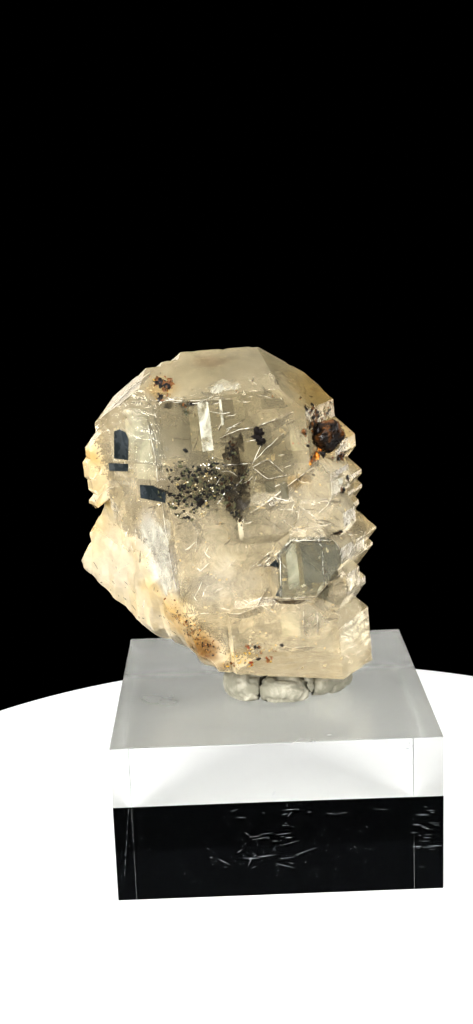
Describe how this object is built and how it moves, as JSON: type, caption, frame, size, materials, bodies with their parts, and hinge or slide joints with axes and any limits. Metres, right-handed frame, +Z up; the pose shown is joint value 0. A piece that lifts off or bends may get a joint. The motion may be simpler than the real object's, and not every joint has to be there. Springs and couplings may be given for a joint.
{
  "type": "quartz specimen on an acrylic display block",
  "caption": "Clear to milky quartz crystal cluster with iron-oxide stains, fixed with mounting tack on a square clear acrylic display block.",
  "frame": {"origin": "centre of the acrylic block's underside, which rests on the surface", "axes": "+Z up, +X to the right and +Y towards the back, both square to the block's sides, so -Y is the front of the specimen"},
  "size_m": [0.0423, 0.0382, 0.0627],
  "materials": {
    "acrylic": "polished clear acrylic",
    "quartz": "glassy crystal faces over cloudy, iron-stained quartz",
    "iron_oxide": "dull, dark brown to black",
    "tack": "matte grey-beige putty"
  },
  "bodies": {
    "root": {"acrylic_block": "acrylic", "quartz_crystal": "quartz", "iron_oxide_grain": "iron_oxide", "tack_front": "tack", "tack_centre": "tack", "tack_left": "tack", "tack_roll": "tack", "tack_right": "tack", "tack_core": "tack"}
  },
  "joints": []
}
